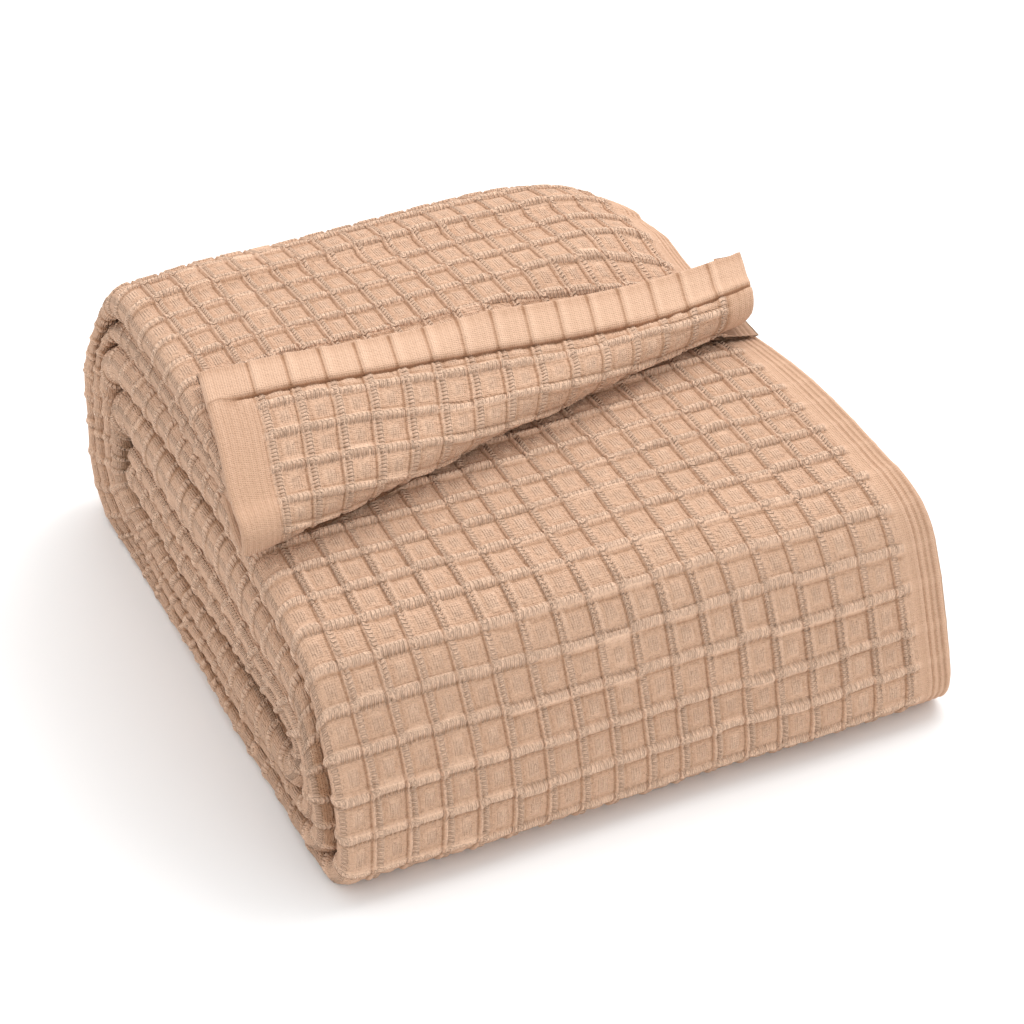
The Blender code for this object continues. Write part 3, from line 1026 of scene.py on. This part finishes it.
    def _floats(
        self, tree: bpy.types.NodeTree, u: bpy.types.NodeSocket, v: bpy.types.NodeSocket
    ) -> bpy.types.NodeSocket:
        """Short raised threads in the middle of each cell.

        Args:
            tree: The material's nodes.
            u: Cells across.
            v: Cells along.

        Returns:
            Their height.
        """
        off_u = self._math(tree, "ABSOLUTE", self._centred(tree, self._math(tree, "ADD", u, 0.52)))
        off_v = self._math(tree, "ABSOLUTE", self._centred(tree, self._math(tree, "ADD", v, 0.5)))
        inside = self._math(tree, "MULTIPLY", self._bell(tree, off_u, 0.22), self._bell(tree, off_v, 0.27))
        threads = self._wave(tree, self._math(tree, "MULTIPLY", u, 14.0))
        return self._math(tree, "MULTIPLY", self._math(tree, "MULTIPLY", inside, threads), 0.6)

    def _centred(self, tree: bpy.types.NodeTree, value: bpy.types.NodeSocket) -> bpy.types.NodeSocket:
        """Distance from the nearest whole number, signed."""
        whole = self._math(tree, "ROUND", value)
        return self._math(tree, "SUBTRACT", value, whole)

    def _wave(self, tree: bpy.types.NodeTree, phase: bpy.types.NodeSocket) -> bpy.types.NodeSocket:
        """Wave from 0 to 1 with one crest for each whole number."""
        turned = self._math(tree, "COSINE", self._math(tree, "MULTIPLY", phase, 2 * math.pi))
        return self._math(tree, "MULTIPLY_ADD", turned, 0.5, 0.5)

    def _colour(self, tree: bpy.types.NodeTree, shader: bpy.types.Node, height: bpy.types.NodeSocket) -> None:
        """Painted shade in the hollows of the cells and between the loops, painted highlight on the crests.

        Args:
            tree: The material's nodes.
            shader: The shader they feed.
            height: Height of the loops, also painted into the colour as shade between them and highlight on them.
        """
        # The relief attribute with its painted shade, the loops' height and random speckle set the ramp: deep colour
        # as painted shade, high colour as painted highlight.
        level = tree.nodes.new("ShaderNodeMapRange")
        level.inputs["From Min"].default_value = -2.6
        level.inputs["From Max"].default_value = 2.2
        tree.links.new(self._attribute(tree, "relief"), level.inputs["Value"])
        tone_with_painted_light = self._math(tree, "MULTIPLY_ADD", level.outputs["Result"], 0.85, -0.02)
        tone_with_painted_light = self._math(tree, "ADD", tone_with_painted_light, self._math(tree, "MULTIPLY", height, 0.16))
        speckle = self._noise(tree, tree.nodes["cells"].outputs[0], 14.0)
        tone_with_painted_light = self._math(tree, "ADD", tone_with_painted_light, self._math(tree, "MULTIPLY_ADD", speckle, 0.3, -0.15))
        colours = tree.nodes.new("ShaderNodeValToRGB")
        colours.color_ramp.elements[0].position = 0.12
        colours.color_ramp.elements[0].color = (*self.deep, 1.0)
        colours.color_ramp.elements[1].position = 0.95
        colours.color_ramp.elements[1].color = (*self.high, 1.0)
        middle = colours.color_ramp.elements.new(0.45)
        middle.color = (*self.mid, 1.0)
        tree.links.new(tone_with_painted_light, colours.inputs[0])
        tree.links.new(colours.outputs[0], shader.inputs["Base Color"])


@dataclass(frozen=True)
class Studio:
    """Pale floor, soft lights and the camera."""

    floor: float = 12.0
    camera_at: tuple[float, float, float] = (-0.654, -1.4463, 1.264)
    tilt: float = 90.0 - 36.9
    swing: float = -24.64
    lens: float = 107.8

    def build(self) -> None:
        """Set up everything round the blanket."""
        self._floor()
        self._light("key", (1.1, 0.35, 1.9), 1.2, 19.0)
        self._light("top", (0.2, 0.9, 2.0), 1.6, 15.0)
        self._world()
        self._camera()

    def _floor(self) -> None:
        """Lay the floor."""
        maker = bmesh.new()
        bmesh.ops.create_grid(maker, x_segments=1, y_segments=1, size=self.floor / 2)
        mesh = bpy.data.meshes.new("floor")
        maker.to_mesh(mesh)
        maker.free()
        material = bpy.data.materials.new("pale floor")
        material.use_nodes = True
        shader = material.node_tree.nodes["Principled BSDF"]
        shader.inputs["Base Color"].default_value = (0.93, 0.93, 0.93, 1.0)
        shader.inputs["Roughness"].default_value = 0.9
        shader.inputs["Specular IOR Level"].default_value = 0.0
        mesh.materials.append(material)
        floor = bpy.data.objects.new("floor", mesh)
        bpy.context.scene.collection.objects.link(floor)

    def _light(self, name: str, at: tuple[float, float, float], size: float, power: float) -> None:
        """Hang a soft light that looks at the blanket.

        Args:
            name: Its name.
            at: Its place.
            size: Width of the square that shines.
            power: Its power.
        """
        lamp = bpy.data.lights.new(name, "AREA")
        lamp.size = size
        lamp.energy = power
        light = bpy.data.objects.new(name, lamp)
        light.location = at
        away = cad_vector(at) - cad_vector((0.0, 0.0, 0.1))
        light.rotation_euler = away.to_track_quat("Z", "Y").to_euler()
        bpy.context.scene.collection.objects.link(light)

    def _world(self) -> None:
        """Even white surroundings."""
        world = bpy.data.worlds.new("studio")
        world.use_nodes = True
        shade = world.node_tree.nodes["Background"]
        shade.inputs["Color"].default_value = (1.0, 1.0, 1.0, 1.0)
        shade.inputs["Strength"].default_value = 1.0
        bpy.context.scene.world = world
        bpy.context.scene.view_settings.view_transform = "Standard"

    def _camera(self) -> None:
        """Place the camera."""
        lens = bpy.data.cameras.new("camera")
        lens.lens = self.lens
        lens.sensor_width = 36.0
        camera = bpy.data.objects.new("camera", lens)
        camera.location = self.camera_at
        camera.rotation_euler = (math.radians(self.tilt), 0.0, math.radians(self.swing))
        bpy.context.scene.collection.objects.link(camera)
        bpy.context.scene.camera = camera


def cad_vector(values: tuple[float, float, float]):
    """Vector of three numbers."""
    from mathutils import Vector

    return Vector(values)


def main() -> None:
    """Build the blanket, piece by piece, and the studio round it."""
    logging.basicConfig(level=logging.INFO, format="%(name)s: %(message)s")
    weave = Weave()
    right = RightEnd()
    winding = Winding(LooseEnd())
    cotton = CottonFinish().make()
    behind = winding.place_of(215.0, 150.0, 200.0, 600.0)
    toe = winding.place_of(-212.0, 1.0, behind + 300.0, behind + 900.0)
    under_flap = winding.place_of(40.0, 181.0, toe + 200.0, toe + 700.0)
    bands = (
        WoundBand("outer_turn_top", Turn.OUTER, 0.0, behind, fine=True),
        WoundBand("outer_turn_back_and_sole", Turn.OUTER, behind, toe),
        WoundBand("outer_turn_front", Turn.OUTER, toe, under_flap, fine=True),
        WoundBand("outer_band_inside", Turn.OUTER, under_flap, winding.end, face=False, trim=3.0),
        WoundBand("under_band", Turn.UNDER, 0.0, winding.end + 12.0, face=False, trim=5.0),
    )
    for band in bands:
        band.build(winding, weave, right).build(cotton)
    TurnedFlap().build(winding, weave, right).build(cotton)
    Studio().build()


if __name__ == "__main__":
    main()
